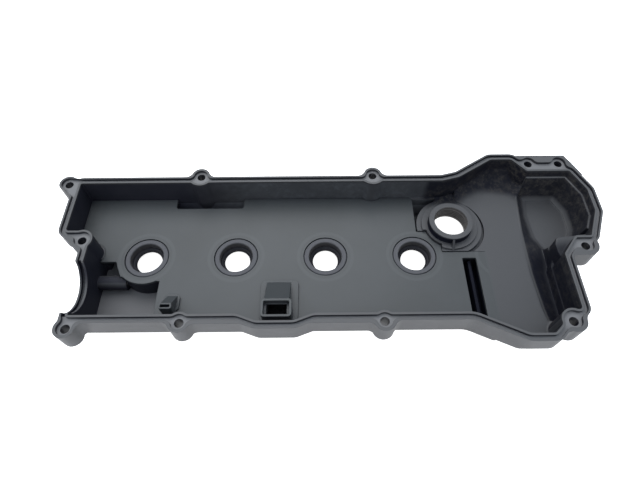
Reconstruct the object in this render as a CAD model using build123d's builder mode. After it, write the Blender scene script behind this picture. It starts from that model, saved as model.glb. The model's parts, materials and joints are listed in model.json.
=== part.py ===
from build123d import *

import os
from math import cos, radians, sin, sqrt

# A moulded valve cover for a four-cylinder engine, lying on its outer top with the open side up.
# X runs along the engine from the half-round end to the timing end, and Y across it.
# The origin is on the axis of the first spark plug, in the plane that the cover lies on.

# Heights above that plane
HEIGHT = 57.0
BAFFLE_FACE = 27.0
BAFFLE_THICKNESS = 3.0
WALL = 3.0
ROOF = 1.5
SKIRT_DEPTH = 20.0
BOSS_DEPTH = 22.0
BAFFLE_SEAT = BAFFLE_FACE - BAFFLE_THICKNESS
SEAT_UNDERSIDE = BAFFLE_SEAT - WALL
ROOF_INSIDE = ROOF + WALL

# Spark plugs, their coil wells and their seals
PLUG_PITCH = 92.0
PLUG_COUNT = 4
PLUG_X = [index * PLUG_PITCH for index in range(PLUG_COUNT)]
LAST_PLUG = PLUG_X[-1]
WELL_RADIUS = 30.0
WELL_MOUTH = 12.0
WELL_STEP = 1.0
SEAT_RADIUS = 20.0
SEAT_DEPTH = 12.0
SEAT_STOP = 3.0
SEAL_FLANGE_RADIUS = 22.2
SEAL_MOUTH_RADIUS = 17.2
SEAL_WAIST_RADIUS = 15.6
SEAL_LIP_RADIUS = 13.0
SEAL_GAP = 0.4

# Walls of the open side, from the row of plugs
BACK = 74.2
FRONT = -75.8
LEFT = -74.0
END = -48.0
NECK = 14.5
TIMING_REACH = 138.0
SPROCKET_BULGE = 45.2
SPROCKET_RISE = 12.0
SPROCKET_FRONT = 3.7
LOBE_RISE = 28.6
LOBE_WIDTH = 22.5
LOBE_RUN = 56.0
LOBE_KNEE = 38.0
LOBE_KNEE_RISE = 4.8
TOE_DROP = 20.7
TOE_WIDTH = 22.0
TOE_RUN = 45.0
OUTLET_DROP = 6.7
OUTLET_X = 137.2
OUTLET_WIDTH = 69.0
OUTLET_FLAT = 34.0
TIMING_RIGHT = LAST_PLUG + TIMING_REACH
TIMING_FRONT = FRONT + 1.3
SPROCKET_RIGHT = TIMING_RIGHT + SPROCKET_BULGE
SPROCKET_BACK = BACK + SPROCKET_RISE
LOBE_BACK = BACK + LOBE_RISE
LOBE_RIGHT = TIMING_RIGHT - 25.5
LOBE_LEFT = LOBE_RIGHT - LOBE_WIDTH
TOE_FRONT = FRONT - TOE_DROP
TOE_RIGHT = TIMING_RIGHT - 30.0
TOE_LEFT = TOE_RIGHT - TOE_WIDTH

# Flange, from the inside out: ridge, gasket groove, lip
RIDGE = 2.2
GROOVE = 3.5
LIP = 1.9
GROOVE_DEPTH = 3.3
GROOVE_ROUND_BOLT = 7.0
GROOVE_BLEND = 6.0
FLANGE = RIDGE + GROOVE + LIP
FLANGE_BLEND = 8.0
SMALL_BLEND = 2.0

# Bolts: x, y, radius of the boss, radius of the bump that it makes in the wall inside
BOLT_HOLE_RADIUS = 4.25
BUMP_BLEND = 4.0
BACK_BOLT_OUT = 9.2
FRONT_BOLT_OUT = 7.5
BOLT_SHIFT = 5.8
SPROCKET_BOLT_OUT = 12.0
FIRST_BOLT_X = PLUG_PITCH / 2 + BOLT_SHIFT
LAST_BOLT_X = LAST_PLUG - PLUG_PITCH / 2 + BOLT_SHIFT
BOLTS = {
    "A": (LEFT - 13.6, BACK + 0.4, 9.3, 0),
    "B": (FIRST_BOLT_X, BACK + BACK_BOLT_OUT, 9.5, 13.2),
    "C": (LAST_BOLT_X, BACK + BACK_BOLT_OUT, 9.5, 13.2),
    "D": (TIMING_RIGHT - 7.1, SPROCKET_BACK + SPROCKET_BOLT_OUT, 8.5, 0),
    "E": (TIMING_RIGHT + 25.7, SPROCKET_BACK + SPROCKET_BOLT_OUT, 8.5, 0),
    "F": (TIMING_RIGHT + 24.5, SPROCKET_FRONT - 10.4, 11.6, 0),
    "G": (TIMING_RIGHT - 9.9, TIMING_FRONT - 10.6, 11.0, 11.8),
    "H": (LAST_BOLT_X, FRONT - FRONT_BOLT_OUT, 10.2, 9.7),
    "I": (FIRST_BOLT_X, FRONT - FRONT_BOLT_OUT, 10.0, 9.9),
    "J": (END - 0.2, FRONT - 12.0, 9.7, 0),
    "K": (END - 8.4, NECK - 10.2, 10.5, 11.1),
}

# Coil bolts on the outer top
COIL_BOLT_OFFSET = 36.0
INSERT_RADIUS = 4.0
INSERT_BORE_RADIUS = 2.5
INSERT_LENGTH = 10.0
INSERT_BOSS_RADIUS = 7.0
INSERT_BOSS_LENGTH = 14.0

# Oil separator chamber under the baffle
LEDGE = 2.5
BAFFLE_REACH = 73.3
BAFFLE_GAP = 0.3
CHAMBER_RIGHT = LAST_PLUG + BAFFLE_REACH - 7.3
BAFFLE_RIGHT = LAST_PLUG + BAFFLE_REACH
BAFFLE_CORNER_X = LAST_PLUG + 5.0
BAFFLE_CORNER_RADIUS = 4.0
CUTOUT_WIDTH = 74.0
CUTOUT_DEPTH = 12.7
CUTOUT_X = FIRST_BOLT_X + 6.5
NOTCH_TOP = -4.5
NOTCH_RIGHT = 17.5
SLOT_WIDTH = 14.2
SLOT_LENGTH = 65.0
SLOT_X = BAFFLE_RIGHT - 17.6
SLOT_BACK = -3.5
SLOT_RIB_TOP = 20.0
FRONT_SLOPE = 15.0

# Drain snouts on the baffle: x, width, width of the ramp, front, back of the mouth, back of the
# ramp, top, wall, corner radius, and the pad round them: left, right and front
SNOUT_RIM = 1.5
SNOUT_LEDGE = 1.2
SNOUT_LEDGE_DEPTH = 6.0
PAD_RISE = 2.5
PAD_RADIUS = 5.0
LARGE_SNOUT = (137.5, 28.5, 23.6, -76.0, -58.0, -31.0, 50.0, 2.2, 3.5)
LARGE_PAD = (119.8, 156.8, -72.0)
SMALL_SNOUT = (34.0, 12.0, 10.0, -66.0, -60.2, -45.0, 47.0, 1.5, 1.6)
SMALL_PAD = (26.5, 41.5, -61.0)

# Oil filler: a collar on a stepped round shelf
FILLER_REACH = 40.5
FILLER_X = LAST_PLUG + FILLER_REACH
FILLER_Y = 35.0
FILLER_BORE_RADIUS = 17.4
FILLER_COLLAR_RADIUS = 22.8
FILLER_COLLAR_TOP = 38.5
FILLER_SHELF_RADIUS = 34.5
FILLER_RECESS_RADIUS = 36.0
FILLER_RECESS_SHIFT = 1.2
FILLER_STEP_RADIUS = 29.5
FILLER_SHELF_RISE = 1.2
FILLER_STEP_RISE = 3.4
FILLER_CLEARANCE = 26.0
FILLER_FRONT = 3.8
FILLER_RIB_WIDTH = 2.4
SHELF_LEFT = FILLER_X - 10.5

# Half-round recess in the left end wall
RECESS_RADIUS = 27.0
RECESS_Y = -46.8
RECESS_RISE = 5.0

# Timing bay
STEP_X = TIMING_RIGHT - 21.0
BAY_FLOOR = 15.0
COVE_RADIUS = 20.0
COVE_ANGLES = (0.0, 18.0, 36.0, 54.0, 72.0)
BACK_LEDGE = 47.0
FRONT_LEDGE = 43.0
# Walls of the sprocket's bay: height, and how far they stand in from the wall at the flange
BAY_WALL = [
    (BAY_FLOOR, 9.5),
    (BAY_FLOOR + 4.5, 5.8),
    (BAFFLE_FACE + 3.0, 3.6),
    (BACK_LEDGE, 2.0),
]

# Water drain of the first coil well, and the breather pipe at the same end
DRAIN_Y = -21.5
DRAIN_Z = 13.0
DRAIN_RADIUS = 7.4
DRAIN_BORE_RADIUS = 4.4
BREATHER_Y = 45.0
BREATHER_Z = 14.0
BREATHER_RADIUS = 6.0
BREATHER_BORE_RADIUS = 4.0
BREATHER_LENGTH = 22.0

# A length past every wall, for shapes that only cut or trim
BEYOND = 700.0

os.makedirs("parts", exist_ok=True)

# Inner outline of the walls, before the bolts push into it: x, y, corner radius
INNER_CORNERS = [
    (LEFT, BACK, 1.5),
    (LEFT, NECK, 3.0),
    (END, NECK, 8.0),
    (END, FRONT, 0.8),
    (OUTLET_X - OUTLET_WIDTH / 2, FRONT, 14.0),
    (OUTLET_X - OUTLET_FLAT / 2, FRONT - OUTLET_DROP, 10.0),
    (OUTLET_X + OUTLET_FLAT / 2, FRONT - OUTLET_DROP, 10.0),
    (OUTLET_X + OUTLET_WIDTH / 2, FRONT, 14.0),
    (TOE_LEFT - TOE_RUN, FRONT, 25.0),
    (TOE_LEFT, TOE_FRONT, 10.0),
    (TOE_RIGHT, TOE_FRONT, 4.0),
    (TOE_RIGHT + 9, TOE_FRONT + 8.5, 1.0),
    (TIMING_RIGHT - 11, TIMING_FRONT, 1.0),
    (TIMING_RIGHT, TIMING_FRONT, 3.0),
    (TIMING_RIGHT, SPROCKET_FRONT - 20.2, 4.0),
    (TIMING_RIGHT + 16, SPROCKET_FRONT, 4.0),
    (TIMING_RIGHT + 32, SPROCKET_FRONT, 2.5),
    (SPROCKET_RIGHT, SPROCKET_FRONT + 30.3, 6.0),
    (SPROCKET_RIGHT, SPROCKET_BACK - 25.2, 6.0),
    (SPROCKET_RIGHT - 11.7, SPROCKET_BACK, 2.5),
    (TIMING_RIGHT - 12, SPROCKET_BACK, 3.0),
    (LOBE_RIGHT, LOBE_BACK, 4.0),
    (LOBE_LEFT, LOBE_BACK, 6.0),
    (LOBE_LEFT - LOBE_KNEE, BACK + LOBE_KNEE_RISE, 20.0),
    (LOBE_LEFT - LOBE_RUN, BACK, 20.0),
]

with BuildSketch() as plain_inside:
    with BuildLine():
        FilletPolyline(
            *[(x, y) for x, y, radius in INNER_CORNERS],
            radius=[radius for x, y, radius in INNER_CORNERS],
            close=True,
        )
    make_face()


def corners_of_bump(sketch, x, y, radius):
    """Points of a sketch where the circle of a bolt's bump meets the wall."""
    return [v for v in sketch.vertices() if abs(sqrt((v.X - x) ** 2 + (v.Y - y) ** 2) - radius) < 0.01]


with BuildSketch() as inside:
    add(plain_inside.sketch)
    for x, y, boss, bump in BOLTS.values():
        if bump:
            with Locations((x, y)):
                Circle(bump, mode=Mode.SUBTRACT)
    for x, y, boss, bump in BOLTS.values():
        if bump:
            fillet(corners_of_bump(inside, x, y, bump), BUMP_BLEND)

# Outer outline of the flange, with a land along the front and one round each timing bolt
FRONT_LAND = FRONT - FRONT_BOLT_OUT - 2.2
BACK_LAND = BOLTS["D"][1] + 9.6
with BuildSketch() as outside:
    add(plain_inside.sketch)
    offset(amount=FLANGE)
    for name, (x, y, boss, bump) in BOLTS.items():
        if name not in "DEF":
            with Locations((x, y)):
                Circle(boss)
    with BuildLine():
        Polyline(
            (FIRST_BOLT_X, FRONT),
            (FIRST_BOLT_X, FRONT_LAND),
            (LAST_BOLT_X, FRONT_LAND),
            (LAST_BOLT_X, FRONT),
            close=True,
        )
    make_face()
    offset(amount=FLANGE_BLEND)
    offset(amount=-FLANGE_BLEND)
    with BuildLine():
        Polyline(
            (LEFT - 5, NECK - 2.5),
            (END - 9, NECK - 24),
            (END - 2, NECK - 24),
            (END - 2, NECK),
            close=True,
        )
    make_face()
    with BuildLine():
        Polyline(
            (TIMING_RIGHT - 25, BACK_LAND - 12.8),
            (TIMING_RIGHT - 25, BACK_LAND),
            (TIMING_RIGHT + 33, BACK_LAND),
            (TIMING_RIGHT + 38, BACK_LAND - 9.8),
            (SPROCKET_RIGHT + 0.6, SPROCKET_BACK - 5.2),
            (SPROCKET_RIGHT - 9.2, SPROCKET_BACK - 8.2),
            close=True,
        )
    make_face()
    with BuildLine():
        Polyline(
            (TIMING_RIGHT + 6, SPROCKET_FRONT - 13.7),
            (TIMING_RIGHT + 6, SPROCKET_FRONT - 22.5),
            (TIMING_RIGHT + 26, SPROCKET_FRONT - 22),
            (TIMING_RIGHT + 34, SPROCKET_FRONT - 5.7),
            close=True,
        )
    make_face()
    with Locations(BOLTS["F"][:2]):
        Circle(BOLTS["F"][2])
    offset(amount=SMALL_BLEND)
    offset(amount=-SMALL_BLEND)

# Outer edge of the gasket groove, which takes in the mouth of every bolt hole
with BuildSketch() as groove:
    add(plain_inside.sketch)
    offset(amount=RIDGE + GROOVE)
    for x, y, boss, bump in BOLTS.values():
        with Locations((x, y)):
            Circle(GROOVE_ROUND_BOLT)
    with BuildLine():
        Polyline(
            (BOLTS["D"][0], SPROCKET_BACK),
            BOLTS["D"][:2],
            BOLTS["E"][:2],
            (BOLTS["E"][0], SPROCKET_BACK),
            close=True,
        )
    make_face()
    offset(amount=GROOVE_BLEND)
    offset(amount=-GROOVE_BLEND)
    with BuildLine():
        Polyline(
            (BOLTS["A"][0], BOLTS["A"][1] + GROOVE_ROUND_BOLT),
            (LEFT, BACK + RIDGE + GROOVE),
            (LEFT - RIDGE - GROOVE, BACK - 16),
            (BOLTS["A"][0] - 4.9, BOLTS["A"][1] - 4.9),
            close=True,
        )
    make_face()

with BuildSketch() as ridge:
    add(inside.sketch)
    offset(amount=RIDGE)

# Shelf round the oil filler, which the floor of the timing side runs into
with BuildSketch() as shelf_plan:
    with Locations((FILLER_X, FILLER_Y)):
        Circle(FILLER_SHELF_RADIUS)
    with BuildLine():
        Polyline(
            (SHELF_LEFT, FILLER_Y),
            (SHELF_LEFT, BEYOND),
            (BEYOND, BEYOND),
            (BEYOND, FILLER_FRONT - WALL),
            (FILLER_X, FILLER_FRONT - WALL),
            close=True,
        )
    make_face()

# Baffle plate with its cut-outs
with BuildSketch() as baffle_plan:
    add(inside.sketch)
    offset(amount=-BAFFLE_GAP)
    with BuildLine():
        Polyline(
            (BAFFLE_CORNER_X, BEYOND),
            (BAFFLE_CORNER_X, FILLER_Y - 6),
            (FILLER_X - 20, FILLER_Y - 6),
            (FILLER_X - 11.5, FILLER_Y - 20),
            (FILLER_X - 11.5, FILLER_FRONT),
            (BAFFLE_RIGHT, FILLER_FRONT),
            (BAFFLE_RIGHT, -BEYOND),
            (BEYOND, -BEYOND),
            (BEYOND, BEYOND),
            close=True,
        )
    make_face(mode=Mode.SUBTRACT)
    with Locations((FILLER_X, FILLER_Y)):
        Circle(FILLER_CLEARANCE, mode=Mode.SUBTRACT)
    with BuildLine():
        Polyline(
            (-BEYOND, NOTCH_TOP),
            (-WELL_RADIUS - 0.5, NOTCH_TOP),
            (-WELL_RADIUS + 7, DRAIN_Y),
            (0, -WELL_RADIUS + 4),
            (NOTCH_RIGHT, -WELL_RADIUS + 3),
            (NOTCH_RIGHT, -BEYOND),
            (-BEYOND, -BEYOND),
            close=True,
        )
    make_face(mode=Mode.SUBTRACT)
    Circle(WELL_RADIUS)
    with Locations((CUTOUT_X, BACK)):
        RectangleRounded(CUTOUT_WIDTH, 2 * CUTOUT_DEPTH, 3, mode=Mode.SUBTRACT)
    with Locations(BOLTS["K"][:2]):
        Circle(BOLTS["K"][3] + 1.7, mode=Mode.SUBTRACT)
    with Locations((SLOT_X, SLOT_BACK - SLOT_LENGTH / 2)):
        RectangleRounded(SLOT_WIDTH, SLOT_LENGTH, 1.5, mode=Mode.SUBTRACT)
    with Locations(*[(x, 0) for x in PLUG_X]):
        Circle(SEAL_FLANGE_RADIUS + SEAL_GAP, mode=Mode.SUBTRACT)
    corner = Vector(BAFFLE_CORNER_X, BACK - BAFFLE_GAP)
    fillet(baffle_plan.vertices().sort_by_distance(corner)[0], BAFFLE_CORNER_RADIUS)

# Chamber of the oil separator, with a ledge for the baffle except under its cut-outs
with BuildSketch() as chamber_plan:
    add(inside.sketch)
    offset(amount=-LEDGE)
    with BuildLine():
        Polyline(
            (-BEYOND, NOTCH_TOP + 3),
            (-BEYOND, -BEYOND),
            (NOTCH_RIGHT, -BEYOND),
            (NOTCH_RIGHT, NOTCH_TOP + 3),
            close=True,
        )
    make_face()
    with Locations((CUTOUT_X, BACK)):
        Rectangle(CUTOUT_WIDTH, 2 * CUTOUT_DEPTH)
    add(inside.sketch, mode=Mode.INTERSECT)
    with BuildLine():
        Polyline(
            (CHAMBER_RIGHT, -BEYOND),
            (CHAMBER_RIGHT, BEYOND),
            (BEYOND, BEYOND),
            (BEYOND, -BEYOND),
            close=True,
        )
    make_face(mode=Mode.SUBTRACT)
    add(shelf_plan.sketch, mode=Mode.SUBTRACT)

with BuildSketch() as walls_plan:
    add(inside.sketch)
    offset(amount=WALL)

with BuildSketch() as box_plan:
    add(chamber_plan.sketch)
    offset(amount=WALL)
    add(walls_plan.sketch, mode=Mode.INTERSECT)

with BuildSketch() as seat_plan:
    add(chamber_plan.sketch)
    offset(amount=LEDGE + WALL)
    with Locations((FILLER_X + FILLER_RECESS_SHIFT, FILLER_Y - FILLER_RECESS_SHIFT)):
        Circle(FILLER_RECESS_RADIUS + WALL)
    add(walls_plan.sketch, mode=Mode.INTERSECT)

# Section of the separator across the engine, with its sloping front: y, z, corner radius
SECTION = [
    (-BEYOND, HEIGHT, 0),
    (-BEYOND, HEIGHT - 17, 0),
    (FRONT - 4, SEAT_UNDERSIDE + 13, 0),
    (FRONT - 4 + FRONT_SLOPE, ROOF, 8),
    (BACK - 9, ROOF, 8),
    (BACK + 3, SEAT_UNDERSIDE - 1, 0),
    (BEYOND, BAFFLE_SEAT, 0),
    (BEYOND, HEIGHT, 0),
]

with BuildPart() as separator_box:
    with BuildSketch():
        add(box_plan.sketch)
    extrude(amount=BAFFLE_SEAT)
    with BuildSketch(Plane.YZ.offset(-BEYOND)):
        with BuildLine():
            FilletPolyline(
                *[(y, z) for y, z, radius in SECTION],
                radius=[radius for y, z, radius in SECTION],
                close=True,
            )
        make_face()
    extrude(amount=2 * BEYOND, mode=Mode.INTERSECT)

with BuildPart() as separator_chamber:
    with BuildSketch():
        add(chamber_plan.sketch)
    extrude(amount=BAFFLE_FACE)
    with BuildSketch(Plane.YZ.offset(-BEYOND)):
        with BuildLine():
            FilletPolyline(
                *[(y, z) for y, z, radius in SECTION],
                radius=[radius for y, z, radius in SECTION],
                close=True,
            )
        make_face()
        offset(amount=-WALL)
    extrude(amount=2 * BEYOND, mode=Mode.INTERSECT)

# Slot in front of the sprocket's bay, against the walls
with BuildSketch() as slot_plan:
    with BuildLine():
        Polyline(
            (STEP_X - 8, SPROCKET_FRONT + 12),
            (STEP_X - 8, TIMING_FRONT + 1),
            (TIMING_RIGHT - 3, TIMING_FRONT + 1),
            (TIMING_RIGHT - 1, TIMING_FRONT + 4),
            (TIMING_RIGHT - 1, SPROCKET_FRONT - 19),
            (TIMING_RIGHT + 1.8, SPROCKET_FRONT - 12),
            (TIMING_RIGHT + 1.8, SPROCKET_FRONT + 12),
            close=True,
        )
    make_face()


def moved_in(corners, depth):
    """Corners of a polygon with every side moved in by a depth. They run counter-clockwise."""
    sides = [Vector(*corner) - Vector(*corners[index - 1]) for index, corner in enumerate(corners)]
    normals = [side.normalized().rotate(Axis.Z, 90) for side in sides]
    moved = []
    for index, corner in enumerate(corners):
        first = normals[index]
        second = normals[(index + 1) % len(corners)]
        step = (first + second) * (depth / (1 + first.dot(second)))
        moved.append((corner[0] + step.X, corner[1] + step.Y))
    return moved


# Bay of the cam sprocket, whose walls lean in towards its floor
BAY_CORNERS = [
    (STEP_X - 30, SPROCKET_FRONT),
    (TIMING_RIGHT + 32, SPROCKET_FRONT),
    (SPROCKET_RIGHT, SPROCKET_FRONT + 30.3),
    (SPROCKET_RIGHT, SPROCKET_BACK - 25.2),
    (SPROCKET_RIGHT - 11.7, SPROCKET_BACK),
    (STEP_X - 30, SPROCKET_BACK),
]
with BuildPart() as bay_room:
    for z, depth in BAY_WALL:
        with BuildSketch(Plane.XY.offset(z)):
            with BuildLine():
                Polyline(*moved_in(BAY_CORNERS, depth), close=True)
            make_face()
    loft(ruled=True)

# Slope from the timing floor down to the bay's floor: y, x of its top edge, x of its foot
SLOPE = [
    (SPROCKET_BACK, STEP_X + 5, TIMING_RIGHT),
    (BACK - 20, STEP_X + 2.5, TIMING_RIGHT - 4.5),
    (BACK - 47, STEP_X - 0.5, TIMING_RIGHT - 2.5),
    (SPROCKET_FRONT + 9, STEP_X - 2, TIMING_RIGHT + 4),
    (SPROCKET_FRONT - 24, STEP_X - 2.8, TIMING_RIGHT - 1.5),
    (SPROCKET_FRONT - 63, STEP_X - 0.6, TIMING_RIGHT - 1),
    (TIMING_FRONT - WALL, STEP_X + 2.5, TIMING_RIGHT),
]

with BuildPart() as timing_slope:
    for y, edge, foot in SLOPE:
        with BuildSketch(Plane.XZ.offset(-y)):
            with BuildLine():
                Polyline(
                    (STEP_X - 34, BAY_FLOOR - WALL),
                    (STEP_X - 34, BAFFLE_FACE),
                    (edge, BAFFLE_FACE),
                    (foot - 5, BAY_FLOOR + 2),
                    (foot, BAY_FLOOR),
                    (foot, BAY_FLOOR - WALL),
                    close=True,
                )
            make_face()
    loft(ruled=True)

# Foot of the cove along the back of the timing floor, which rises from it to the wall
COVE_FOOT = [
    (FILLER_X, FRONT),
    (SPROCKET_RIGHT + 40, FRONT),
    (SPROCKET_RIGHT + 40, BACK - 5),
    (STEP_X + 4, BACK - 5),
    (LOBE_RIGHT + 0.5, BACK + 8),
    (LOBE_LEFT + 6, BACK + 9.5),
    (LOBE_LEFT - 9, BACK + 4.5),
    (LOBE_LEFT - 29, BACK - 7.5),
    (FILLER_X, BACK - 7.5),
]
with BuildPart() as cove_room:
    for angle in COVE_ANGLES:
        with BuildSketch(Plane.XY.offset(BAFFLE_FACE + COVE_RADIUS * (1 - cos(radians(angle))))):
            with BuildLine():
                Polyline(*moved_in(COVE_FOOT, -COVE_RADIUS * sin(radians(angle))), close=True)
            make_face()
    loft(ruled=True)

COVE_TOP = BAFFLE_FACE + COVE_RADIUS * (1 - cos(radians(COVE_ANGLES[-1])))
with BuildPart() as cove:
    with BuildSketch(Plane.XY.offset(BAY_FLOOR - WALL)):
        with BuildLine():
            Polyline(
                (FILLER_X + 12, BACK - 20),
                (STEP_X + 1, BACK - 20),
                (STEP_X + 3, BACK - 5),
                (TIMING_RIGHT - 9.4, SPROCKET_BACK - 2),
                (TIMING_RIGHT - 9.4, SPROCKET_BACK + 3),
                (LOBE_RIGHT + 3, LOBE_BACK + WALL),
                (FILLER_X + 12, LOBE_BACK + WALL),
                close=True,
            )
        make_face()
    extrude(amount=COVE_TOP - BAY_FLOOR + WALL)
    add(cove_room.part, mode=Mode.SUBTRACT)

# What fills the corners of the timing side: the cove, the block that the sprocket's bay is
# hollowed from, and the ledge in front of it
with BuildPart() as front_ledge:
    with BuildSketch(Plane.XY.offset(BAY_FLOOR - WALL)):
        with BuildLine():
            Polyline(
                (TIMING_RIGHT + 3.2, SPROCKET_FRONT - 16),
                (TIMING_RIGHT + 1.8, SPROCKET_FRONT - 10),
                (TIMING_RIGHT + 1.8, SPROCKET_FRONT - 1),
                (TIMING_RIGHT + 4, SPROCKET_FRONT + 5),
                (TIMING_RIGHT + 7.6, SPROCKET_FRONT + 7),
                (TIMING_RIGHT + 22, SPROCKET_FRONT + 8.3),
                (TIMING_RIGHT + 38, SPROCKET_FRONT + 10.3),
                (TIMING_RIGHT + 38, SPROCKET_FRONT - 14),
                (TIMING_RIGHT + 6, SPROCKET_FRONT - 29),
                close=True,
            )
        make_face()
    extrude(amount=FRONT_LEDGE - BAY_FLOOR + WALL)

with BuildPart() as sprocket_pocket:
    with BuildSketch(Plane.XY.offset(BAY_FLOOR)):
        add(slot_plan.sketch)
    extrude(amount=BAFFLE_FACE - BAY_FLOOR)
    add(bay_room.part)
    add([timing_slope.part, cove.part, front_ledge.part], mode=Mode.SUBTRACT)

# The same pocket from below, one wall larger
with BuildPart() as pocket_shell:
    with BuildSketch(Plane.XY.offset(BAY_FLOOR - WALL)):
        add(slot_plan.sketch)
        with BuildLine():
            Polyline(*BAY_CORNERS, close=True)
        make_face()
        offset(amount=WALL, kind=Kind.INTERSECTION)
        add(walls_plan.sketch, mode=Mode.INTERSECT)
    extrude(amount=BAFFLE_FACE - BAY_FLOOR)
    with Locations((-1, 0, -WALL)):
        add(timing_slope.part, mode=Mode.SUBTRACT)

with BuildPart() as infill:
    with BuildSketch(Plane.XY.offset(BAFFLE_SEAT)):
        with BuildLine():
            Polyline(
                (TIMING_RIGHT - 10, SPROCKET_BACK + 9),
                (TIMING_RIGHT - 10, SPROCKET_BACK - 30),
                (TIMING_RIGHT + 20, SPROCKET_FRONT + 20),
                (SPROCKET_RIGHT + 6, SPROCKET_FRONT + 10),
                (SPROCKET_RIGHT + 6, SPROCKET_BACK + 9),
                close=True,
            )
        make_face()
    extrude(amount=BACK_LEDGE - BAFFLE_SEAT)
    add([cove.part, front_ledge.part])
    with BuildSketch():
        add(inside.sketch)
        offset(amount=WALL / 2)
    extrude(amount=HEIGHT, mode=Mode.INTERSECT)

# Room that the baffle and the seals need in the floor
with BuildSketch() as baffle_room:
    add(baffle_plan.sketch)
    offset(amount=BAFFLE_GAP)
    with Locations(*[(x, 0) for x in PLUG_X]):
        Circle(SEAL_FLANGE_RADIUS + SEAL_GAP)

# Everything that is hollow on the open side
with BuildPart() as open_side:
    with BuildSketch(Plane.XY.offset(BAFFLE_FACE)):
        add(inside.sketch)
    extrude(amount=HEIGHT)
    add(infill.part, mode=Mode.SUBTRACT)
    with BuildSketch(Plane.XY.offset(BAFFLE_SEAT)):
        add(baffle_room.sketch)
    extrude(amount=BAFFLE_THICKNESS)
    add([separator_chamber.part, sprocket_pocket.part])

# Coil wells and the bosses of the coil bolts, solid, with the rib under the baffle's slot
with BuildPart() as wells:
    with BuildSketch():
        with Locations(*[(x, 0) for x in PLUG_X]):
            Circle(WELL_RADIUS)
    extrude(amount=BAFFLE_SEAT)
    with BuildSketch():
        with Locations(*[(x, COIL_BOLT_OFFSET) for x in PLUG_X]):
            Circle(INSERT_BOSS_RADIUS)
    extrude(amount=INSERT_BOSS_LENGTH)
    with BuildSketch(Plane.XY.offset(ROOF_INSIDE - WALL / 2)):
        with Locations((SLOT_X + WALL / 2, SLOT_BACK - SLOT_LENGTH / 2)):
            Rectangle(WALL, SLOT_LENGTH)
    extrude(amount=SLOT_RIB_TOP - ROOF_INSIDE + WALL / 2)

# What is hollow in the wells: the mouth, the room round the seat, the seat and its stop
with BuildPart() as well_rooms:
    with BuildSketch():
        with Locations(*[(x, 0) for x in PLUG_X]):
            Circle(WELL_RADIUS - WALL)
    extrude(amount=WELL_MOUTH)
    with BuildSketch():
        with Locations(*[(x, 0) for x in PLUG_X]):
            Circle(WELL_RADIUS - WALL - WELL_STEP)
    extrude(amount=SEAT_UNDERSIDE)
    with BuildSketch(Plane.XY.offset(BAFFLE_SEAT - SEAT_DEPTH)):
        with Locations(*[(x, 0) for x in PLUG_X]):
            Circle(SEAT_RADIUS + WALL)
    extrude(amount=SEAT_DEPTH, mode=Mode.SUBTRACT)
    with BuildSketch(Plane.XY.offset(BAFFLE_SEAT - SEAT_DEPTH)):
        with Locations(*[(x, 0) for x in PLUG_X]):
            Circle(SEAT_RADIUS - WALL)
    extrude(amount=SEAT_DEPTH)
    with BuildSketch(Plane.XY.offset(BAFFLE_SEAT - SEAT_DEPTH + SEAT_STOP)):
        with Locations(*[(x, 0) for x in PLUG_X]):
            Circle(SEAT_RADIUS)
    extrude(amount=SEAT_DEPTH)
    with BuildSketch():
        with Locations(*[(x, COIL_BOLT_OFFSET) for x in PLUG_X]):
            Circle(INSERT_RADIUS)
    extrude(amount=INSERT_LENGTH)

# Water drain from the first well to the end wall, and the breather pipe
with BuildPart() as pipes:
    with BuildSketch(Plane.YZ.offset(END - WALL / 2)):
        with Locations((DRAIN_Y, DRAIN_Z)):
            Circle(DRAIN_RADIUS)
    extrude(amount=-END + WALL / 2 - WELL_RADIUS + 11)
    with BuildSketch(Plane.YZ.offset(LEFT + LEDGE - WALL / 2)):
        with Locations((BREATHER_Y, BREATHER_Z)):
            Circle(BREATHER_RADIUS)
    extrude(amount=-BREATHER_LENGTH)

with BuildPart() as pipe_bores:
    with BuildSketch(Plane.YZ.offset(END - 2 * WALL)):
        with Locations((DRAIN_Y, DRAIN_Z)):
            Circle(DRAIN_BORE_RADIUS)
    extrude(amount=-END + 2 * WALL - WELL_RADIUS + 14)
    with BuildSketch(Plane.YZ.offset(LEFT + LEDGE + 1)):
        with Locations((BREATHER_Y, BREATHER_Z)):
            Circle(BREATHER_BORE_RADIUS)
    extrude(amount=-BREATHER_LENGTH - WALL)

# Oil filler: stepped shelf, and a collar with its rib
with BuildPart() as filler:
    with BuildSketch(Plane.XY.offset(BAFFLE_SEAT)):
        with Locations((FILLER_X, FILLER_Y)):
            Circle(FILLER_SHELF_RADIUS)
        add(inside.sketch, mode=Mode.INTERSECT)
        add(baffle_room.sketch, mode=Mode.SUBTRACT)
    extrude(amount=BAFFLE_THICKNESS + FILLER_SHELF_RISE)
    with BuildSketch(Plane.XY.offset(BAFFLE_FACE)):
        with Locations((FILLER_X, FILLER_Y)):
            Circle(FILLER_STEP_RADIUS)
        add(baffle_room.sketch, mode=Mode.SUBTRACT)
    extrude(amount=FILLER_STEP_RISE)
    with BuildSketch(Plane.XY.offset(BAFFLE_SEAT)):
        with Locations((FILLER_X, FILLER_Y)):
            Circle(FILLER_COLLAR_RADIUS)
    extrude(amount=FILLER_COLLAR_TOP - BAFFLE_SEAT)
    with BuildSketch(Plane.YZ.offset(FILLER_X - FILLER_RIB_WIDTH / 2)):
        with BuildLine():
            Polyline(
                (FILLER_Y - FILLER_COLLAR_RADIUS + 1, FILLER_COLLAR_TOP),
                (FILLER_FRONT, BAFFLE_FACE + FILLER_SHELF_RISE),
                (FILLER_FRONT, BAFFLE_SEAT),
                (FILLER_Y - FILLER_COLLAR_RADIUS + 1, BAFFLE_SEAT),
                close=True,
            )
        make_face()
    extrude(amount=FILLER_RIB_WIDTH)

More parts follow.
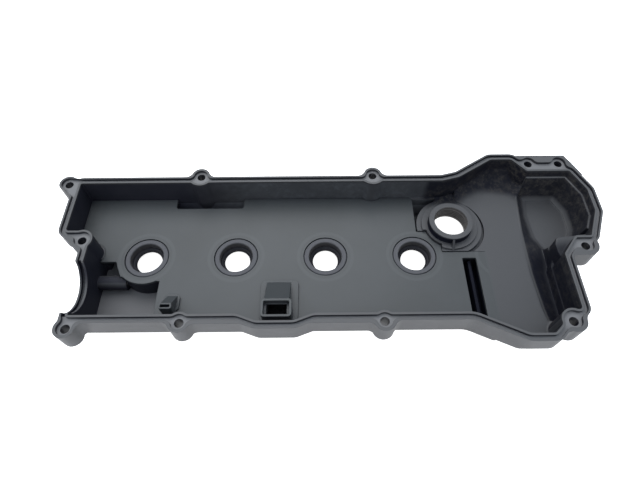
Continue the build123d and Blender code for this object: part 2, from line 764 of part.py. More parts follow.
with BuildPart() as filler_bore:
    with BuildSketch(Plane.XY.offset(SEAT_UNDERSIDE)):
        with Locations((FILLER_X, FILLER_Y)):
            Circle(FILLER_BORE_RADIUS)
    extrude(amount=HEIGHT)
    with BuildSketch(Plane.XY.offset(BAFFLE_SEAT)):
        with Locations((FILLER_X + FILLER_RECESS_SHIFT, FILLER_Y - FILLER_RECESS_SHIFT)):
            Circle(FILLER_RECESS_RADIUS)
        with Locations((FILLER_X, FILLER_Y)):
            Circle(FILLER_SHELF_RADIUS, mode=Mode.SUBTRACT)
        with Locations((FILLER_X, FILLER_FRONT + BEYOND / 2)):
            Rectangle(BEYOND, BEYOND, mode=Mode.INTERSECT)
        with Locations((FILLER_X + BEYOND / 2 + FILLER_RECESS_SHIFT, FILLER_Y)):
            Rectangle(BEYOND, BEYOND, mode=Mode.INTERSECT)
    extrude(amount=BAFFLE_THICKNESS + FILLER_SHELF_RISE + 1)

# Half-round recess in the end wall: a pad round it, and its cut with its own groove
with BuildPart() as recess_pad:
    with BuildSketch(Plane.YZ.offset(END - FLANGE)):
        with Locations((RECESS_Y, HEIGHT + RECESS_RISE)):
            Circle(RECESS_RADIUS + FLANGE)
        with Locations((RECESS_Y, HEIGHT + BEYOND / 2)):
            Rectangle(BEYOND, BEYOND, mode=Mode.SUBTRACT)
    extrude(amount=FLANGE)

with BuildPart() as recess_cut:
    with BuildSketch(Plane.YZ.offset(END - FLANGE - 2)):
        with Locations((RECESS_Y, HEIGHT + RECESS_RISE)):
            Circle(RECESS_RADIUS)
    extrude(amount=FLANGE + 6)
    with BuildSketch(Plane.YZ.offset(END - RIDGE - GROOVE)):
        with Locations((RECESS_Y, HEIGHT + RECESS_RISE)):
            Circle(RECESS_RADIUS + GROOVE_DEPTH)
    extrude(amount=GROOVE)

with BuildPart() as groove_cut:
    with BuildSketch(Plane.XY.offset(HEIGHT - GROOVE_DEPTH)):
        add(groove.sketch)
        add(ridge.sketch, mode=Mode.SUBTRACT)
    extrude(amount=GROOVE_DEPTH)
    with BuildSketch(Plane.XY.offset(HEIGHT - BOSS_DEPTH)):
        for x, y, boss, bump in BOLTS.values():
            with Locations((x, y)):
                Circle(BOLT_HOLE_RADIUS)
    extrude(amount=BOSS_DEPTH)

with BuildPart() as cover_shell:
    # Flange band, bolt bosses, side walls and the baffle's seat
    with BuildSketch(Plane.XY.offset(HEIGHT - SKIRT_DEPTH)):
        add(outside.sketch)
    extrude(amount=SKIRT_DEPTH)
    with BuildSketch(Plane.XY.offset(HEIGHT - BOSS_DEPTH)):
        for x, y, boss, bump in BOLTS.values():
            with Locations((x, y)):
                Circle(boss)
    extrude(amount=BOSS_DEPTH)
    with BuildSketch(Plane.XY.offset(BAFFLE_SEAT)):
        add(walls_plan.sketch)
    extrude(amount=HEIGHT - SKIRT_DEPTH - BAFFLE_SEAT)
    with BuildSketch(Plane.XY.offset(SEAT_UNDERSIDE)):
        add(seat_plan.sketch)
    extrude(amount=WALL)
    add([separator_box.part, pocket_shell.part, recess_pad.part])
    # The hollow inside, and what stands in it
    add(open_side.part, mode=Mode.SUBTRACT)
    add([wells.part, pipes.part, filler.part])
    add([well_rooms.part, pipe_bores.part, filler_bore.part], mode=Mode.SUBTRACT)
    # Recess, gasket groove and bolt holes
    add([recess_cut.part, groove_cut.part], mode=Mode.SUBTRACT)

with BuildPart() as oil_baffle:
    with BuildSketch(Plane.XY.offset(BAFFLE_SEAT)):
        add(baffle_plan.sketch)
    extrude(amount=BAFFLE_THICKNESS)
    for snout, pad in ((LARGE_SNOUT, LARGE_PAD), (SMALL_SNOUT, SMALL_PAD)):
        middle, width, ramp, front, mouth, back, top, wall, radius = snout
        pad_left, pad_right, pad_front = pad
        depth = mouth - front
        with BuildSketch(Plane.XY.offset(BAFFLE_FACE)):
            with Locations(((pad_left + pad_right) / 2, (pad_front + back + PAD_RISE) / 2)):
                RectangleRounded(pad_right - pad_left, back + PAD_RISE - pad_front, PAD_RADIUS)
        extrude(amount=PAD_RISE)
        with BuildSketch(Plane.XY.offset(BAFFLE_SEAT)):
            with Locations((middle, front + depth / 2)):
                RectangleRounded(width, depth, radius)
        extrude(amount=top - BAFFLE_SEAT)
        with BuildSketch(Plane.YZ.offset(middle - ramp / 2)):
            with BuildLine():
                Polyline(
                    (mouth - wall, BAFFLE_FACE - 1),
                    (mouth - wall, top - SNOUT_RIM),
                    (mouth, top - SNOUT_RIM),
                    (back, BAFFLE_FACE + PAD_RISE),
                    (back, BAFFLE_FACE - 1),
                    close=True,
                )
            make_face()
        extrude(amount=ramp)
        with BuildSketch(Plane.XY.offset(top - SNOUT_LEDGE_DEPTH)):
            with Locations((middle, front + depth / 2)):
                RectangleRounded(width - 2 * wall, depth - 2 * wall, radius / 3)
        extrude(amount=SNOUT_LEDGE_DEPTH, mode=Mode.SUBTRACT)
        with BuildSketch(Plane.YZ.offset(middle - ramp / 2 + wall)):
            with BuildLine():
                Polyline(
                    (front + wall, BAFFLE_SEAT),
                    (front + wall, top - wall),
                    (mouth - wall - SNOUT_LEDGE, top - wall),
                    (mouth - wall - SNOUT_LEDGE, top - SNOUT_LEDGE_DEPTH),
                    (back - 2 * wall, BAFFLE_SEAT),
                    close=True,
                )
            make_face()
        extrude(amount=ramp - 2 * wall, mode=Mode.SUBTRACT)

# Seal of a plug tube: flange on the seat, body in the bore, and a lip at the far end
with BuildPart() as seal_shape:
    with BuildSketch(Plane.XZ):
        with BuildLine():
            Polyline(
                (SEAL_MOUTH_RADIUS, BAFFLE_FACE),
                (SEAL_FLANGE_RADIUS, BAFFLE_FACE),
                (SEAL_FLANGE_RADIUS, BAFFLE_SEAT),
                (SEAT_RADIUS, BAFFLE_SEAT),
                (SEAT_RADIUS, BAFFLE_SEAT - SEAT_DEPTH + SEAT_STOP),
                (SEAL_LIP_RADIUS, BAFFLE_SEAT - SEAT_DEPTH + SEAT_STOP),
                (SEAL_LIP_RADIUS, BAFFLE_SEAT - SEAT_DEPTH + 2 * SEAT_STOP),
                (SEAL_WAIST_RADIUS, BAFFLE_SEAT),
                close=True,
            )
        make_face()
    revolve(axis=Axis.Z)

with BuildPart() as insert_shape:
    with BuildSketch():
        Circle(INSERT_RADIUS)
        Circle(INSERT_BORE_RADIUS, mode=Mode.SUBTRACT)
    extrude(amount=INSERT_LENGTH)

cover_shell.part.label = "cover_shell"
export_step(cover_shell.part, "parts/cover_shell.step")
oil_baffle.part.label = "oil_baffle"
export_step(oil_baffle.part, "parts/oil_baffle.step")
for number, x in enumerate(PLUG_X, start=1):
    with BuildPart() as plug_seal:
        with Locations((x, 0)):
            add(seal_shape.part)
    plug_seal.part.label = f"plug_seal_{number}"
    export_step(plug_seal.part, f"parts/plug_seal_{number}.step")
    with BuildPart() as coil_insert:
        with Locations((x, COIL_BOLT_OFFSET)):
            add(insert_shape.part)
    coil_insert.part.label = f"coil_insert_{number}"
    export_step(coil_insert.part, f"parts/coil_insert_{number}.step")
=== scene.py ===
# %% [markdown]
# A moulded valve cover, lying on its outer top so that the open side faces up.
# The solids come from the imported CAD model, which is loaded as a fixed frame. This script gives
# them their finishes, adds the small forms that the solids leave out, and sets the camera and
# the lights. Everything is in metres, in the CAD model's own frame.

import json
import math

import bmesh
import bpy
import numpy as np
from mathutils import Matrix, Vector


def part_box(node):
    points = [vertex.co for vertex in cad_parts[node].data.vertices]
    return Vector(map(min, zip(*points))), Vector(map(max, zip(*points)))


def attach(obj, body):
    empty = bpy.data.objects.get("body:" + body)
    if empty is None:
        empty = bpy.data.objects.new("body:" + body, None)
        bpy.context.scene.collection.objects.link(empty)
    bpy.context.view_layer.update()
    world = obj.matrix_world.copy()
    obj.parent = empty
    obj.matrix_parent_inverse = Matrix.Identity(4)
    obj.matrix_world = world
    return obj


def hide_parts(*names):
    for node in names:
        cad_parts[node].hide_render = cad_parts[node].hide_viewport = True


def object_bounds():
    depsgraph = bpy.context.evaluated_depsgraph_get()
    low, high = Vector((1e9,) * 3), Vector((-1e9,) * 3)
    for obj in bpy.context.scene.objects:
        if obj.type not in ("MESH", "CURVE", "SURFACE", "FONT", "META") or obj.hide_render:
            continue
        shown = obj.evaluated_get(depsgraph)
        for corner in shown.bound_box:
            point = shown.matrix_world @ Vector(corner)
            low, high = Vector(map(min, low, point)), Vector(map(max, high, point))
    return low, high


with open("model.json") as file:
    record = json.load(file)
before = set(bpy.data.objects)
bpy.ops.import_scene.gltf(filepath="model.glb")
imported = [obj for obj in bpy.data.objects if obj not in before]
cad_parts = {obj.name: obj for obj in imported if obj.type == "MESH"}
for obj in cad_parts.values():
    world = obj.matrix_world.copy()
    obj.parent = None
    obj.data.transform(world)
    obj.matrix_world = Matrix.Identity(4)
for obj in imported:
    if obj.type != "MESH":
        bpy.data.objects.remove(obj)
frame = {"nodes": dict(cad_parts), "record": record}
cad_box = [list(corner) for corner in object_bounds()]
MM = 0.001
print("nodes", sorted(frame["nodes"]))

# %% [markdown]
# The photograph was taken from the front and well above, a little right of the middle. The
# camera's place, its tilt and its focal length were worked out from the plug pitch and the
# outline of the flange, so that the solids fall where the photograph shows them. The picture's
# middle is the lens axis, so the camera has no shift.

# %% Camera
CAMERA_PLACE = (177.14, -247.29, 453.88)
CAMERA_PITCH = math.radians(57.983)
CAMERA_YAW = math.radians(0.321)
CAMERA_ROLL = math.radians(-0.240)
FOCAL_PIXELS = 477.93
PICTURE_WIDTH = 640
SENSOR_WIDTH = 36

forward = Vector(
    (
        math.sin(CAMERA_YAW) * math.cos(CAMERA_PITCH),
        math.cos(CAMERA_YAW) * math.cos(CAMERA_PITCH),
        -math.sin(CAMERA_PITCH),
    )
)
level = Vector((math.cos(CAMERA_YAW), -math.sin(CAMERA_YAW), 0))
over = level.cross(forward)
right = math.cos(CAMERA_ROLL) * level + math.sin(CAMERA_ROLL) * over
up = -math.sin(CAMERA_ROLL) * level + math.cos(CAMERA_ROLL) * over
camera = bpy.data.objects.new("camera", bpy.data.cameras.new("camera"))
bpy.context.collection.objects.link(camera)
turn = Matrix((right, up, -forward)).transposed().to_4x4()
camera.matrix_world = Matrix.Translation(Vector(CAMERA_PLACE) * MM) @ turn
camera.data.sensor_width = SENSOR_WIDTH
camera.data.lens = FOCAL_PIXELS / PICTURE_WIDTH * camera.data.sensor_width
camera.data.clip_start = 0.01
bpy.context.scene.camera = camera
print("lens", round(camera.data.lens, 2), "mm")

# %% [markdown]
# The cover was photographed on white paper. The paper is one large face, just under the part. Two
# helpers make it, and later the new pieces as well: one turns a grid of points into a mesh, and
# the other turns a mesh into an object.

# %% Floor
FLOOR_SIZE = 6.0
FLOOR_SHIFT = 0.2
FLOOR_DROP = 0.0002


def grid_mesh(name, points, wrap_u=False, wrap_v=False):
    """Mesh of a grid of points, shape (u, v, 3): each face joins four neighbours in the grid."""
    rows, columns = points.shape[:2]
    index = np.arange(rows * columns).reshape(rows, columns)
    if wrap_u:
        index = np.concatenate([index, index[:1]], axis=0)
    if wrap_v:
        index = np.concatenate([index, index[:, :1]], axis=1)
    corners = (index[:-1, :-1], index[1:, :-1], index[1:, 1:], index[:-1, 1:])
    faces = np.stack([corner.ravel() for corner in corners], axis=1)
    mesh = bpy.data.meshes.new(name)
    mesh.from_pydata(points.reshape(-1, 3).tolist(), [], faces.tolist())
    mesh.update()
    return mesh


def piece(name, mesh, smooth=True):
    """Object of a mesh, linked to the scene, with smooth or flat shading."""
    made = bpy.data.objects.new(name, mesh)
    bpy.context.collection.objects.link(made)
    mesh.polygons.foreach_set("use_smooth", np.full(len(mesh.polygons), smooth))
    return made


side = np.linspace(-FLOOR_SIZE / 2, FLOOR_SIZE / 2, 2)
floor_x, floor_y = np.meshgrid(side, side, indexing="ij")
floor_level = np.zeros_like(floor_x) - FLOOR_DROP
floor_points = np.stack([floor_x + FLOOR_SHIFT, floor_y, floor_level], axis=-1)
floor = piece("floor", grid_mesh("floor", floor_points))
print("floor", FLOOR_SIZE, "m wide")

# %% [markdown]
# The light is soft and comes from above. Most of it comes straight down, so the upright walls stay
# dark, while the outer skirt picks up the bright floor. One large lamp above and behind gives the
# flange and the baffle their sheen, the world is brightest overhead, and the floor glows a little,
# as lit paper does, so that it stays white through the wells and beside the skirt.

# %% Lamps and world


def lamp(name, place, aim, size, power, tint=(1, 1, 1)):
    """Square area lamp at a place, turned to a point."""
    data = bpy.data.lights.new(name, "AREA")
    data.size = size
    data.energy = power
    data.color = tint
    made = bpy.data.objects.new(name, data)
    bpy.context.collection.objects.link(made)
    made.location = place
    made.rotation_euler = (Vector(aim) - Vector(place)).to_track_quat("-Z", "Y").to_euler()


MIDDLE = (0.19, 0.0, 0.03)
HORIZON_LIGHT = 0.16
SKY_LIGHT = 1.25
SKY_TOP = 0.95
SKY_COLOUR = (0.82, 0.90, 1.0, 1)
lamp("key", (0.02, 0.72, 1.2), MIDDLE, size=1.2, power=10, tint=(1, 0.985, 0.96))
lamp("side", (-1.1, 0.1, 1.1), MIDDLE, size=0.8, power=4)
lamp("front fill", (0.1, -1.3, 0.45), MIDDLE, size=0.8, power=4.5, tint=(1, 0.97, 0.94))
world = bpy.data.worlds.new("world")
bpy.context.scene.world = world
world.use_nodes = True
bpy.context.scene.view_settings.view_transform = "Standard"
print("lamps", [light.name for light in bpy.data.lights])

# %% [markdown]
# Finishes are written as sums and products of textures. This small class wraps one socket, so
# that an expression on sockets adds the Math nodes that it needs.

# %% Arithmetic on sockets


class Wire:
    """One output socket of a node tree, with arithmetic that adds Math nodes."""

    def __init__(self, tree, socket):
        self.tree = tree
        self.socket = socket

    def math(self, operation, *values):
        return node(self.tree, "ShaderNodeMath", {"operation": operation}, *values)

    def __add__(self, other):
        return self.math("ADD", self, other)

    def __radd__(self, other):
        return self.math("ADD", other, self)

    def __sub__(self, other):
        return self.math("SUBTRACT", self, other)

    def __rsub__(self, other):
        return self.math("SUBTRACT", other, self)

    def __mul__(self, other):
        return self.math("MULTIPLY", self, other)

    def __rmul__(self, other):
        return self.math("MULTIPLY", other, self)

    def between(self, low, high, out_low=0.0, out_high=1.0):
        """Smooth step from one value to another while the input goes from low to high."""
        settings = {"interpolation_type": "SMOOTHSTEP"}
        return node(self.tree, "ShaderNodeMapRange", settings, self, low, high, out_low, out_high)

    def within(self, start, full, last, end):
        """Band with soft ends: 0 before start and after end, 1 between full and last."""
        return self.between(start, full) * (1 - self.between(last, end))

    def larger(self, other):
        return self.math("MAXIMUM", self, other)

    def smaller(self, other):
        return self.math("MINIMUM", self, other)


# %% [markdown]
# One function makes any other node, and the rest build on it: a new material, a link to its
# shader, and a mix of two colours. Colours go through the Mix node, because a Math node would
# turn them grey.

# %% Nodes and materials
MIX_SOCKETS = (0, 6, 7)
MIX_RESULT = 2


def node(tree, kind, settings, *values, output=0, **named):
    """Any node: its settings first, then values or wires for its sockets, by order or by name."""
    made = tree.nodes.new(kind)
    for key, value in settings.items():
        setattr(made, key, value)
    sockets = list(enumerate(values)) + [(key.replace("_", " "), value) for key, value in named.items()]
    for key, value in sockets:
        if isinstance(value, Wire):
            tree.links.new(value.socket, made.inputs[key])
        elif value is not None:
            made.inputs[key].default_value = value
    return Wire(tree, made.outputs[output])


def finish_tree(name, roughness, **fixed):
    """New material with an empty Principled shader: gives the material, its tree and the shader."""
    material = bpy.data.materials.new(name)
    material.use_nodes = True
    tree = material.node_tree
    shader = tree.nodes["Principled BSDF"]
    shader.inputs["Roughness"].default_value = roughness
    for key, value in fixed.items():
        shader.inputs[key.replace("_", " ")].default_value = value
    return material, tree, shader


def put(tree, value, shader, socket):
    """Links a wire to one of a shader's sockets."""
    tree.links.new(value.socket, shader.inputs[socket])


def mixed(tree, amount, first, second):
    """Colour between two colours, by an amount: 0 gives the first, 1 the second."""
    made = tree.nodes.new("ShaderNodeMix")
    made.data_type = "RGBA"
    for key, value in zip(MIX_SOCKETS, (amount, first, second)):
        if isinstance(value, Wire):
            tree.links.new(value.socket, made.inputs[key])
        else:
            made.inputs[key].default_value = value
    return Wire(tree, made.outputs[MIX_RESULT])


# %% [markdown]
# The world's light follows the height of the direction that a ray looks in: little at the
# horizon, most overhead. The camera itself sees plain white, so that the background stays clean.

# %% World light
sky_tree = world.node_tree
sky = sky_tree.nodes["Background"]
direction = node(sky_tree, "ShaderNodeTexCoord", {}, output="Generated")
height = node(sky_tree, "ShaderNodeSeparateXYZ", {}, direction, output="Z")
seen = node(sky_tree, "ShaderNodeLightPath", {}, output="Is Camera Ray")
light = height.between(0.0, SKY_TOP, HORIZON_LIGHT, SKY_LIGHT)
put(sky_tree, mixed(sky_tree, seen, SKY_COLOUR, (1, 1, 1, 1)), sky, "Color")
put(sky_tree, light * (1 - seen) + seen, sky, "Strength")

# %% [markdown]
# Several finishes change with the place on the part: the flange's face is painted paler than the
# walls, a painted highlight, and the deep timing side is rougher. Object coordinates in
# millimetres, the way that the surface faces, and how closed in it is, give masks for that. The
# last comes from the Ambient Occlusion node: narrow grooves and corners are painted darker, a
# painted shade.

# %% Helpers for masks
PLUG_PITCH = 92.0
HEIGHT = cad_box[1][2] / MM
BAFFLE_LEVEL = 27.0
CLOSED = 0.10
MOST_SHADE = 0.8


def places(tree):
    """Object coordinates."""
    return node(tree, "ShaderNodeTexCoord", {}, output="Object")


def millimetres(tree, place):
    """The three parts of a place, in millimetres."""
    return [node(tree, "ShaderNodeSeparateXYZ", {}, place, output=axis) * (1 / MM) for axis in "XYZ"]


def facing(tree):
    """The three parts of the surface's normal: the third is 1 on a level face, 0 on a wall."""
    normal = node(tree, "ShaderNodeNewGeometry", {}, output="Normal")
    return [node(tree, "ShaderNodeSeparateXYZ", {}, normal, output=axis) for axis in "XYZ"]


def distance(first, second):
    """Square root of the sum of two squares."""
    return first.math("SQRT", first * first + second * second)


def closed_in(tree, reach, free=0.75):
    """How closed in a place is, within a reach: 0 on a free face, most in a groove."""
    settings = {"samples": 6}
    openness = node(tree, "ShaderNodeAmbientOcclusion", settings, Distance=reach, output="AO")
    return openness.between(CLOSED, free, MOST_SHADE, 0.0)


def noise(tree, place, scale, detail=3.0, roughness=0.6):
    """Noise between 0 and 1, with a number of lumps to the metre."""
    values = {"Scale": scale, "Detail": detail, "Roughness": roughness}
    return node(tree, "ShaderNodeTexNoise", {}, place, output="Fac", **values)


print("height", round(HEIGHT, 2), "mm")

# %% [markdown]
# The cover is moulded in black nylon with mineral and glass in it. One material serves the whole
# moulding, because the real part is one plastic. Its places differ in how they cooled, and in the
# painted highlights and painted shade that stand in for the lamps' light. Masks pick these places
# out, each by limits in millimetres. A pair of limits is a soft step. Four limits are a band: the
# mask is 0 before the first and after the last, and 1 between the two in the middle. A painted
# picture could do the same, but masks stay sharp from near and need no unwrapping.
#
# A face counts as level or steep by the upward part of its normal, and the slope of the bay
# counts as steep as well.

# %% Wires of the cover's plastic
LEVEL_FACE = (0.8, 0.98)
STEEP_FACE = (0.6, 0.97)
BAY_SLOPE = (15.4, 17.0, 25.2, 26.8)
BELOW_FLANGE = (HEIGHT - 3.5, HEIGHT - 1.0)
material, tree, shader = finish_tree("cover_plastic", 0.5, IOR=1.5, Specular_IOR_Level=0.5)
place = places(tree)
x, y, z = millimetres(tree, place)
face_x, face_y, upward = facing(tree)
mottle = noise(tree, place, 55.0, detail=5.0, roughness=0.65)
grain = noise(tree, place, 900.0)
speckle = noise(tree, place, 150.0, detail=8.0, roughness=0.8)
cloud = noise(tree, place, 26.0)
level_face = upward.between(*LEVEL_FACE)
steep = (1 - upward.between(*STEEP_FACE)).larger(z.within(*BAY_SLOPE))
below_flange = 1 - z.between(*BELOW_FLANGE)
print("walls count up to", round(BELOW_FLANGE[0], 1), "mm, fading to", round(BELOW_FLANGE[1], 1), "mm")

# %% [markdown]
# The deep walls of the timing side are rougher than the rest. Their mask holds the steep faces
# from a given x on, below the flange, if they look into the bay. Whether a wall looks into an
# opening is the sum, over x and y, of its normal times the way to the opening's middle, in
# millimetres. Walls with their back to it get nothing, so that what belongs inside stays off the
# outer faces, and faces that look upward pass. The heel is the foot of the bay's wall, painted
# pale as a painted highlight, and the outside is the skirt at the front right.

# %% Rough walls of the timing side
BAY_CENTRE = (410.0, -5.0)
TOWARDS_BAY = (-2.0, 1.0)
UPWARD_FACE = (0.1, 0.3)
TIMING_WALLS = (372.0, 398.0)
TIMING_OUTSIDE = (436.0, 440.0)
TIMING_OUTSIDE_BACK = (8.0, 14.0)
BAY_LEVEL = 15.0
HEEL_HEIGHT = (BAY_LEVEL + 0.1, BAY_LEVEL + 0.4, BAY_LEVEL + 1, BAY_LEVEL + 7)
HEEL_LEFT = (402.0, 412.0)
HEEL_FRONT = (15.0, 30.0)
to_bay = face_x * (BAY_CENTRE[0] - x) + face_y * (BAY_CENTRE[1] - y)
inward = to_bay.between(*TOWARDS_BAY).larger(upward.between(*UPWARD_FACE))
# Painted highlight on the foot of the bay's wall.
heel_highlight = x.between(*HEEL_LEFT) * y.between(*HEEL_FRONT) * z.within(*HEEL_HEIGHT)
outside = x.between(*TIMING_OUTSIDE) * (1 - y.between(*TIMING_OUTSIDE_BACK))
rough_wall = x.between(*TIMING_WALLS) * steep * below_flange * inward
rough_wall = rough_wall * (1 - outside) * (1 - heel_highlight * 0.85)
print("timing side from x", TIMING_WALLS[0], "to", round(cad_box[1][0] / MM, 1), "mm")

# %% [markdown]
# The back of the timing floor and the walls behind it are painted dark, a painted shade, patchy
# like the rough walls, and give back no sheen. This gloom starts at a line whose y falls with the
# square of the distance from its peak, down to a least y, and two noises make the line ragged. A
# painted highlight runs along the floor's edge over the bay, on a rim. The edge is bowed: its x
# grows with the square of the distance from the floor's middle.

# %% Painted shade and painted highlight of the timing floor
GLOOM_PEAK = (368.0, 81.0)
GLOOM_CURVE = 0.0106
GLOOM_FRONT = 62.0
GLOOM_EDGE = (-6.0, 7.0)
GLOOM_RAGGED = (14, 8)
GLOOM_LEFT_RIGHT = (290.0, 298.0, 400.0, 408.0)
# Painted shade on the back of the timing floor and the walls behind it.
from_peak = x - GLOOM_PEAK[0]
gloom_line = (from_peak * from_peak * -GLOOM_CURVE + GLOOM_PEAK[1]).larger(GLOOM_FRONT)
ragged = (cloud - 0.5) * GLOOM_RAGGED[0] + (speckle - 0.5) * GLOOM_RAGGED[1]
gloom = (y - gloom_line + ragged).between(*GLOOM_EDGE) * x.within(*GLOOM_LEFT_RIGHT)
gloom = gloom * z.between(BAFFLE_LEVEL - 1, BAFFLE_LEVEL) * below_flange * inward

FLOOR_EDGE = 392.0
FLOOR_MIDDLE = -6.0
FLOOR_BOW = 0.00094
RIM_WIDTH = (-2.0, -0.4, 0.8, 2.6)
RIM_HEIGHT = (23.0, 25.5, BAFFLE_LEVEL + 0.2, BAFFLE_LEVEL + 0.8)
RIM_BACK = (70.0, 78.0)
# Painted highlight along the floor's edge over the bay.
from_middle = y - FLOOR_MIDDLE
past_edge = x - (from_middle * from_middle * FLOOR_BOW + FLOOR_EDGE)
rim_highlight = past_edge.within(*RIM_WIDTH) * z.within(*RIM_HEIGHT) * (1 - y.between(*RIM_BACK))
print("floor edge from x", FLOOR_EDGE, "mm, gloom from y", GLOOM_FRONT, "mm")

# %% [markdown]
# Little light falls into the pit, the bay's front part, and into the trench, the deep part right
# of it, so both get a painted shade. Behind the bay, below the flange, a ledge catches the light
# and is painted pale, a painted highlight.

# %% Pit, trench and ledge
PIT_LEFT = (384.0, 390.0)
PIT_TOP = (23.0, 26.0)
TRENCH_LEFT = (398.0, 404.0)
TRENCH_TOP = (44.0, 46.0)
PIT_FRONT_BACK = (-90.0, -84.0, -4.0, 12.0)
LEDGE_LEFT_RIGHT = (396.0, 404.0, 449.0, 454.0)
LEDGE_FRONT = (66.0, 76.0)
LEDGE_HEIGHT = (44.0, 46.6, 47.3, 48.5)
LEDGE_FACE = (0.7, 0.95)
# Painted shade in the pit and the trench.
trench_shade = x.between(*TRENCH_LEFT) * (1 - z.between(*TRENCH_TOP)) * (1 - outside)
pit_shade = (x.between(*PIT_LEFT) * (1 - z.between(*PIT_TOP))).larger(trench_shade)
pit_shade = pit_shade * y.within(*PIT_FRONT_BACK) * inward
# Painted highlight on the ledge.
ledge = x.within(*LEDGE_LEFT_RIGHT) * y.between(*LEDGE_FRONT) * z.within(*LEDGE_HEIGHT)
ledge = ledge * upward.between(*LEDGE_FACE)
print("ledge at", LEDGE_HEIGHT[1], "to", LEDGE_HEIGHT[2], "mm")

# %% [markdown]
# The slot is the breather's opening in the baffle. Its mask holds the walls that look into it, by
# the same sum as for the bay. The moat is the narrow gap round the filler's neck, and the bore is
# the inside of the neck. Both go by the distance from the neck's middle. The walls of the slot and
# the moat get a painted shade.

# %% Slot, moat and bore
SLOT_CENTRE = (336.5, -36.0)
TOWARDS_SLOT = (-7.0, -5.5)
SLOT_LEFT_RIGHT = (322.0, 324.0, 349.0, 351.0)
SLOT_FRONT_BACK = (-73.0, -71.0, 0.0, 2.0)
SLOT_HEIGHT = (1.0, 2.0, BAFFLE_LEVEL - 2, BAFFLE_LEVEL - 1)
NECK_PLACE = (316.5, 35.0)
MOAT_RADIUS = (22.3, 22.6, 22.6, 23.6)
MOAT_HEIGHT = (BAFFLE_LEVEL + 1, BAFFLE_LEVEL + 2, 36.0, 37.8)
BORE_RADIUS = (17.5, 17.6)
BORE_TOP = (37.5, 38.3)
to_slot = face_x * (SLOT_CENTRE[0] - x) + face_y * (SLOT_CENTRE[1] - y)
slot = x.within(*SLOT_LEFT_RIGHT) * y.within(*SLOT_FRONT_BACK) * z.within(*SLOT_HEIGHT)
slot = slot * to_slot.between(*TOWARDS_SLOT)
from_neck = distance(x - NECK_PLACE[0], y - NECK_PLACE[1])
moat = from_neck.within(*MOAT_RADIUS) * z.within(*MOAT_HEIGHT)
bore = (1 - from_neck.between(*BORE_RADIUS)) * (1 - z.between(*BORE_TOP))
print("neck at", NECK_PLACE, "mm")

# %% [markdown]
# The inside is the inner side of the left end, apart from the drain pipe that lies in it, and is
# painted dark navy, a painted shade. The lip is the edge of the half-round recess, up to a distance
# from the recess's axis, painted pale as a painted highlight. The back wall is painted pale and
# patchy in its middle part, as painted light.

# %% Left end and back wall
INSIDE_LEFT_RIGHT = (-75.5, -74.5, 20.0, 90.0)
INSIDE_FRONT_BACK = (-77.2, -76.2, 75.0, 76.0)
PIPE_LEFT_RIGHT = (-72.0, -69.0, -20.0, -16.0)
PIPE_FRONT_BACK = (-30.0, -27.0, -10.0, -7.0)
PIPE_TOP = (19.0, 20.0)
PIPE_FACE = (0.1, 0.5)
RECESS_AXIS = (-46.8, HEIGHT + 5.0)
RECESS_LIP = (27.6, 28.2)
RECESS_RIGHT = (-60.0, -56.0)
LIT_WALL_LEFT_RIGHT = (40.0, 120.0, 290.0, 330.0)
LIT_WALL_FRONT_BACK = (68.0, 72.0, 75.0, 76.0)
pipe = x.within(*PIPE_LEFT_RIGHT) * y.within(*PIPE_FRONT_BACK) * (1 - z.between(*PIPE_TOP))
# Painted shade on the inner walls of the left end.
shaded_inside = x.within(*INSIDE_LEFT_RIGHT) * y.within(*INSIDE_FRONT_BACK) * steep * below_flange
shaded_inside = shaded_inside * (1 - pipe * upward.between(*PIPE_FACE))
# Painted highlight on the lip of the half-round recess.
from_recess = distance(y - RECESS_AXIS[0], z - RECESS_AXIS[1])
lip_highlight = (1 - from_recess.between(*RECESS_LIP)) * (1 - x.between(*RECESS_RIGHT)) * below_flange
# Painted light, pale and patchy, on the middle of the back wall.
lit_back_wall = x.within(*LIT_WALL_LEFT_RIGHT) * y.within(*LIT_WALL_FRONT_BACK) * steep * below_flange
print("recess round y", RECESS_AXIS[0], "mm, z", round(RECESS_AXIS[1], 1), "mm")

# %% [markdown]
# Level faces turn to the lamps, and they are painted paler than the walls, a painted highlight.
# The floor of the flange's groove and the roof that shows in the notch lie in shade, and are
# painted paler still, so that they look lit. They are told apart by height: the flange's face, the
# floor of its groove, the deeper floors, and the roof that shows in the notch, the baffle's
# cut-out beside the first well.

# %% Level faces
FLANGE_FACE = (HEIGHT - 0.4, HEIGHT - 0.1)
GROOVE_FLOOR = HEIGHT - 3.3
GROOVE_HEIGHT = (GROOVE_FLOOR - 0.3, GROOVE_FLOOR - 0.1, GROOVE_FLOOR + 0.1, GROOVE_FLOOR + 0.3)
FLOOR_HEIGHT = (10.0, 14.0, 46.0, 50.0)
NOTCH_TOP = (8.0, 11.0)
NOTCH_RIGHT = (17.5, 19.5)
# Painted highlight: level faces are painted paler, and the groove's floor and the notch's roof paler
# still.
lit_flange = z.between(*FLANGE_FACE)
lit_floors = level_face * z.within(*FLOOR_HEIGHT)
groove = level_face * z.within(*GROOVE_HEIGHT)
lit_notch_roof = level_face * (1 - z.between(*NOTCH_TOP)) * (1 - x.between(*NOTCH_RIGHT))
print("groove floor at", round(GROOVE_FLOOR, 1), "mm,", len(tree.nodes), "nodes so far")
